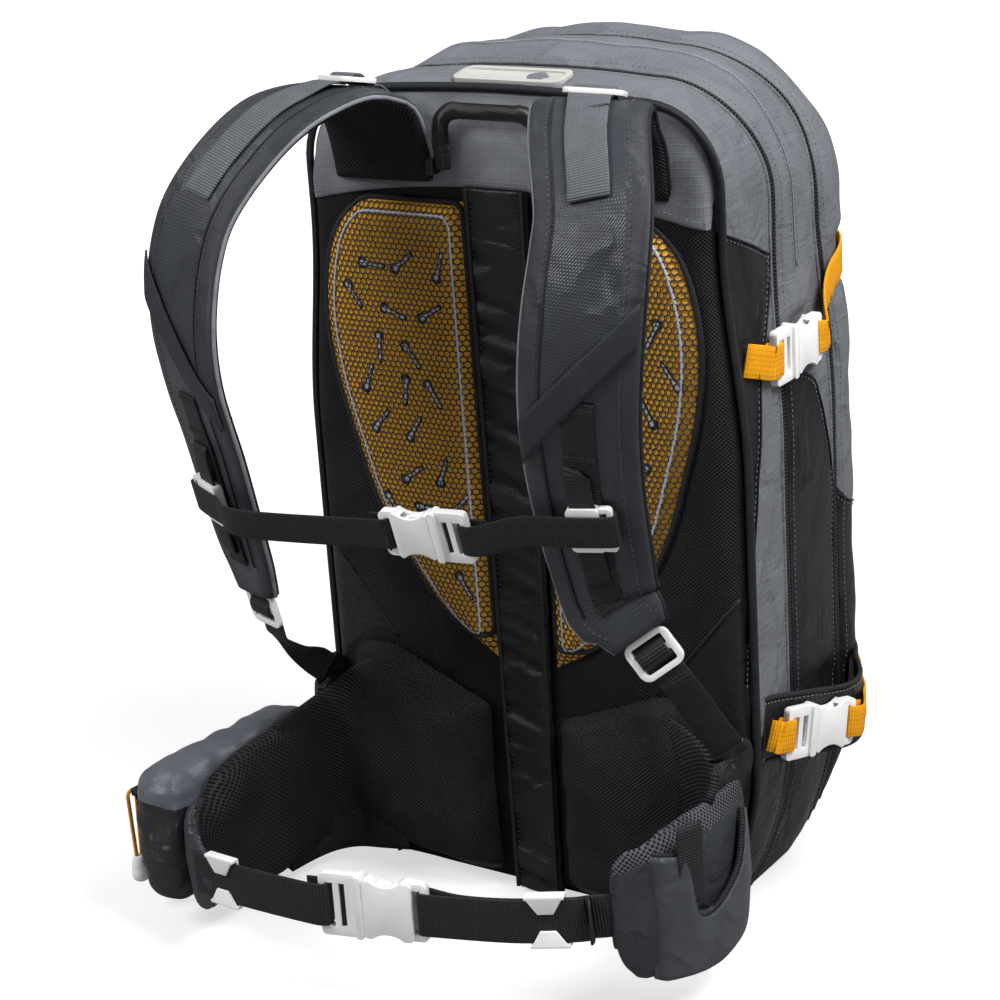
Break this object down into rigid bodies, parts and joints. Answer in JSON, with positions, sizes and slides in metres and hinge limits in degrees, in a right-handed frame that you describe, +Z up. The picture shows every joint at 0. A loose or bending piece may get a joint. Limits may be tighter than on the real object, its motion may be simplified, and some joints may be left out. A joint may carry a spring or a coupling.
{
  "type": "ski backpack",
  "caption": "Upright ski backpack with a padded foam back, curved shoulder straps, wrap-round hip belt, side straps over ski loops and release buckles that slide apart.",
  "frame": {"origin": "on the floor, in the middle of the flat base the bag stands on", "axes": "+Z up along the back, -Y toward the wearer, +X to the right when looking at the harness"},
  "size_m": [0.4143, 0.3717, 0.5333],
  "materials": {
    "frame_plastic": "flexible polyethylene sheet",
    "stay_aluminium": "bare flat bar",
    "spacer_mesh": "knitted spacer mesh over foam",
    "orange_foam": "perforated foam under open net",
    "shiny_black_fabric": "coated twill with a satin sheen",
    "grey_ripstop": "woven ripstop",
    "black_trim": "bound edge and coil tape",
    "lining_fabric": "light lining",
    "plate_plastic": "moulded rubber-like plate",
    "black_webbing": "ribbed webbing",
    "grey_webbing": "ribbed webbing",
    "strap_twill": "twill over foam",
    "white_plastic": "acetal, satin moulded",
    "orange_webbing": "flat woven webbing",
    "zip_metal": "black painted",
    "orange_cord": "braided cord with a moulded end"
  },
  "bodies": {
    "pack": {"frame_sheet": "frame_plastic", "frame_stay": "stay_aluminium", "back_panel": "spacer_mesh", "foam_lobe_left": "orange_foam", "foam_lobe_right": "orange_foam", "spine_sleeve": "shiny_black_fabric", "lumbar_pad_left": "spacer_mesh", "lumbar_pad_right": "spacer_mesh", "yoke_panel": "grey_ripstop", "edge_piping": "black_trim", "rear_gusset": "grey_ripstop", "main_zip": "black_trim", "middle_gusset": "grey_ripstop", "front_zip": "black_trim", "front_gusset": "grey_ripstop", "front_panel": "grey_ripstop", "base_panel": "shiny_black_fabric", "divider_panel": "lining_fabric", "top_plate": "plate_plastic", "haul_anchors": "black_webbing", "shoulder_strap_left": "strap_twill", "shoulder_strap_right": "strap_twill", "load_lifter_webbing": "grey_webbing", "load_lifter_locks": "white_plastic", "strap_locks": "white_plastic", "strap_webbing": "black_webbing", "sternum_rails": "black_webbing", "hip_wing_left": "shiny_black_fabric", "hip_wing_right": "shiny_black_fabric", "hip_pocket": "shiny_black_fabric", "hip_zip": "black_trim", "gear_holster": "black_trim", "waist_webbing_right": "black_webbing", "waist_keepers": "white_plastic", "waist_female": "white_plastic", "ski_loops": "black_trim", "compression_rear_webbing": "orange_webbing", "compression_males": "white_plastic"},
    "sternum": {"sternum_slider_left": "white_plastic", "sternum_slider_right": "white_plastic", "sternum_webbing_left": "black_webbing", "sternum_female": "white_plastic"},
    "sternum_plug": {"sternum_male": "white_plastic", "sternum_webbing_right": "black_webbing"},
    "waist_plug": {"waist_male": "white_plastic", "waist_webbing_left": "black_webbing"},
    "compression_upper_left": {"compression_female_upper_left": "white_plastic", "compression_webbing_upper_left": "orange_webbing"},
    "compression_upper_right": {"compression_female_upper_right": "white_plastic", "compression_webbing_upper_right": "orange_webbing"},
    "compression_lower_left": {"compression_female_lower_left": "white_plastic", "compression_webbing_lower_left": "orange_webbing"},
    "compression_lower_right": {"compression_female_lower_right": "white_plastic", "compression_webbing_lower_right": "orange_webbing"},
    "haul": {"haul_loop": "black_webbing"},
    "pocket_slider": {"hip_zip_slider": "zip_metal"},
    "pocket_pull": {"hip_zip_pull": "orange_cord"},
    "main_slider": {"main_zip_slider": "zip_metal"},
    "front_slider": {"front_zip_slider": "zip_metal"}
  },
  "joints": [
    {"name": "sternum_height", "type": "slide", "parent": "pack", "child": "sternum", "axis": [0, 0.2492, -0.9684], "range_m": [-0.015, 0.015]},
    {"name": "sternum_release", "type": "slide", "parent": "sternum", "child": "sternum_plug", "axis": [0.9965, 0.0628, 0.0553], "range_m": [0, 0.022], "deforming": ["sternum_webbing_right"]},
    {"name": "waist_release", "type": "slide", "parent": "pack", "child": "waist_plug", "axis": [-0.9664, -0.2571, 0], "range_m": [0, 0.03], "deforming": ["waist_webbing_left"]},
    {"name": "compression_release_upper_left", "type": "slide", "parent": "pack", "child": "compression_upper_left", "axis": [0, 1, 0], "range_m": [0, 0.022], "deforming": ["compression_webbing_upper_left"]},
    {"name": "compression_release_upper_right", "type": "slide", "parent": "pack", "child": "compression_upper_right", "axis": [0, 1, 0], "range_m": [0, 0.022], "deforming": ["compression_webbing_upper_right"]},
    {"name": "compression_release_lower_left", "type": "slide", "parent": "pack", "child": "compression_lower_left", "axis": [-0.3056, 0.9406, -0.1478], "range_m": [0, 0.022], "deforming": ["compression_webbing_lower_left"]},
    {"name": "compression_release_lower_right", "type": "slide", "parent": "pack", "child": "compression_lower_right", "axis": [0.3056, 0.9406, -0.1478], "range_m": [0, 0.022], "deforming": ["compression_webbing_lower_right"]},
    {"name": "haul_swing", "type": "hinge", "parent": "pack", "child": "haul", "pos_m": [0, -0.0979, 0.474], "axis": [1, 0, 0], "range_deg": [0, 80]},
    {"name": "pocket_zip", "type": "slide", "parent": "pack", "child": "pocket_slider", "axis": [0.1659, 0.9861, 0], "range_m": [0, 0.085]},
    {"name": "pull_swing", "type": "hinge", "parent": "pocket_slider", "child": "pocket_pull", "pos_m": [-0.22224, -0.22484, 0.084], "axis": [0.1659, 0.9861, 0], "range_deg": [0, 60]},
    {"name": "main_zip_run", "type": "slide", "parent": "pack", "child": "main_slider", "axis": [0, 0, 1], "range_m": [0, 0.1]},
    {"name": "front_zip_run", "type": "slide", "parent": "pack", "child": "front_slider", "axis": [0, 0, 1], "range_m": [0, 0.1]}
  ]
}
